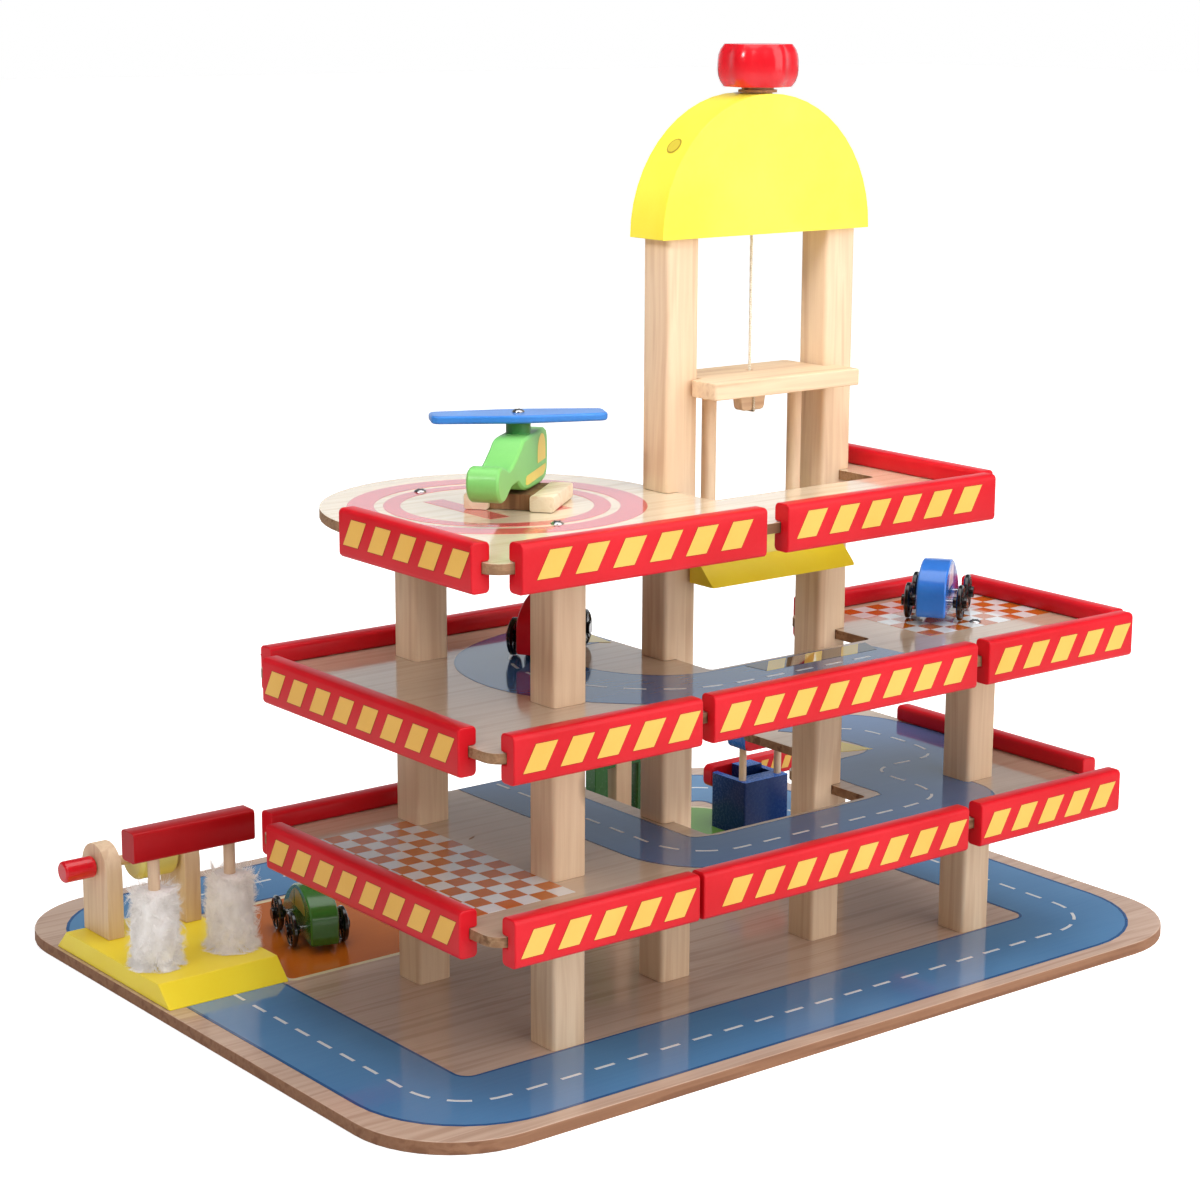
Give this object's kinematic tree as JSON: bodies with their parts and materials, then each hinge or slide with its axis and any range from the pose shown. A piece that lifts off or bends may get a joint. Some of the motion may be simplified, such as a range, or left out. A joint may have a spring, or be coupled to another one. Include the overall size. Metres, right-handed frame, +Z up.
{
  "type": "toy parking garage",
  "caption": "Wooden toy parking garage: railed decks on posts around a winch-driven lift tower, with car wash, fuel station, helipad, helicopter and toy cars.",
  "frame": {"origin": "centre of the base board's underside, on the surface it stands on", "axes": "+Z up, +X along the garage's long side, -Y out of the railed front"},
  "size_m": [0.5676, 0.446, 0.5191],
  "materials": {
    "pine": "bare planed pine with fine grain",
    "printed_plywood": "plywood with a printed and varnished top face, bare edges",
    "red_paint": "glossy lacquer on wood",
    "yellow_paint": "glossy lacquer on wood",
    "dark_blue_paint": "glossy lacquer on wood",
    "blue_paint": "glossy lacquer on wood",
    "green_paint": "glossy lacquer on wood",
    "light_green_paint": "satin lacquer on wood",
    "cream_paint": "satin lacquer on wood",
    "black_plastic": "moulded glossy plastic",
    "brush_pile": "long white pile",
    "string": "thin twisted cord"
  },
  "bodies": {
    "garage": {"rail_lower_front_1": "red_paint", "rail_lower_front_2": "red_paint", "rail_lower_front_3": "red_paint", "rail_lower_right": "red_paint", "rail_lower_back": "red_paint", "rail_lower_left": "red_paint", "rail_middle_front_1": "red_paint", "rail_middle_front_2": "red_paint", "rail_middle_front_3": "red_paint", "rail_middle_right": "red_paint", "rail_middle_back_right": "red_paint", "rail_middle_back_left": "red_paint", "rail_middle_left": "red_paint", "rail_upper_front_1": "red_paint", "rail_upper_front_2": "red_paint", "rail_upper_right": "red_paint", "rail_upper_left": "red_paint", "post_front_left_1": "pine", "post_front_left_2": "pine", "post_front_left_3": "pine", "post_back_left_1": "pine", "post_back_left_2": "pine", "post_back_left_3": "pine", "post_front_right_1": "pine", "post_front_right_2": "pine", "post_back_right_1": "pine", "tower_post_left": "pine", "tower_post_right": "pine", "base_board": "printed_plywood", "deck_lower": "printed_plywood", "deck_middle": "printed_plywood", "deck_upper": "printed_plywood", "tower_roof": "yellow_paint", "wash_base": "yellow_paint", "wash_board_left": "pine", "wash_board_right": "pine", "wash_beam": "red_paint", "station_body": "dark_blue_paint", "station_canopy": "dark_blue_paint", "service_frame": "green_paint"},
    "lift": {"lift_floor": "yellow_paint", "lift_top_board": "pine", "lift_toggle": "pine", "lift_string": "string"},
    "winch": {"winch_knob": "red_paint"},
    "wash_roller": {"wash_crank": "red_paint", "wash_roller": "cream_paint"},
    "brush_left": {"wash_brush_left": "brush_pile"},
    "brush_right": {"wash_brush_right": "brush_pile"},
    "barrier": {"barrier_arm": "red_paint"},
    "helicopter": {"helicopter_skids": "pine", "helicopter_body": "light_green_paint"},
    "rotor": {"helicopter_rotor": "blue_paint"},
    "green_car": {"green_car_body": "green_paint"},
    "green_rear": {"green_car_rear_wheels": "black_plastic"},
    "green_front": {"green_car_front_wheels": "black_plastic"},
    "blue_car": {"blue_car_body": "blue_paint"},
    "blue_rear": {"blue_car_rear_wheels": "black_plastic"},
    "blue_front": {"blue_car_front_wheels": "black_plastic"},
    "red_car": {"red_car": "red_paint"}
  },
  "joints": [
    {"name": "lift_slide", "type": "slide", "parent": "garage", "child": "lift", "axis": [0, 0, 1], "range_m": [-0.2264, 0.07], "deforming": ["lift_string"]},
    {"name": "winch_turn", "type": "hinge", "parent": "garage", "child": "winch", "pos_m": [0.0293, -0.0955, 0.5078], "axis": [0, 0, 1], "range_deg": [-1700, 520]},
    {"name": "wash_crank_turn", "type": "hinge", "parent": "garage", "child": "wash_roller", "pos_m": [-0.2409, 0.12675, 0.0598], "axis": [1, 0, 0], "continuous": true},
    {"name": "brush_left_turn", "type": "hinge", "parent": "garage", "child": "brush_left", "pos_m": [-0.2636, 0.0625, 0.042], "axis": [0, 0, 1], "continuous": true},
    {"name": "brush_right_turn", "type": "hinge", "parent": "garage", "child": "brush_right", "pos_m": [-0.2158, 0.0625, 0.042], "axis": [0, 0, 1], "continuous": true},
    {"name": "barrier_swing", "type": "hinge", "parent": "garage", "child": "barrier", "pos_m": [0.1976, 0.101, 0.03975], "axis": [0, -1, 0], "range_deg": [0, 80]},
    {"name": "helicopter_lift_off", "type": "slide", "parent": "garage", "child": "helicopter", "axis": [0, 0, 1], "range_m": [0, 0.08]},
    {"name": "rotor_spin", "type": "hinge", "parent": "helicopter", "child": "rotor", "pos_m": [-0.12122, -0.08279, 0.3289], "axis": [0, 0, 1], "continuous": true},
    {"name": "green_car_roll", "type": "slide", "parent": "garage", "child": "green_car", "axis": [0.284, 0.9588, 0], "range_m": [-0.035, 0.06]},
    {"name": "green_rear_wheels_turn", "type": "hinge", "parent": "green_car", "child": "green_rear", "pos_m": [-0.1577, 0.06454, 0.0178], "axis": [-0.9588, 0.284, 0], "continuous": true},
    {"name": "green_front_wheels_turn", "type": "hinge", "parent": "green_car", "child": "green_front", "pos_m": [-0.1489, 0.09426, 0.0178], "axis": [-0.9588, 0.284, 0], "continuous": true},
    {"name": "blue_car_roll", "type": "slide", "parent": "garage", "child": "blue_car", "axis": [0.7944, 0.6074, 0], "range_m": [-0.05, 0.01]},
    {"name": "blue_rear_wheels_turn", "type": "hinge", "parent": "blue_car", "child": "blue_rear", "pos_m": [0.14869, -0.12201, 0.2024], "axis": [-0.6074, 0.7944, 0], "continuous": true},
    {"name": "blue_front_wheels_turn", "type": "hinge", "parent": "blue_car", "child": "blue_front", "pos_m": [0.17331, -0.10319, 0.2024], "axis": [-0.6074, 0.7944, 0], "continuous": true},
    {"name": "red_car_roll", "type": "slide", "parent": "garage", "child": "red_car", "axis": [0.8211, 0.5707, 0], "range_m": [-0.045, 0.02]}
  ],
  "couplings": [
    {"joint": "winch_turn", "follows": "lift_slide", "rad_per_m": 125},
    {"joint": "green_rear_wheels_turn", "follows": "green_car_roll", "rad_per_m": 95.238},
    {"joint": "green_front_wheels_turn", "follows": "green_car_roll", "rad_per_m": 95.238},
    {"joint": "blue_rear_wheels_turn", "follows": "blue_car_roll", "rad_per_m": 95.238},
    {"joint": "blue_front_wheels_turn", "follows": "blue_car_roll", "rad_per_m": 95.238}
  ]
}
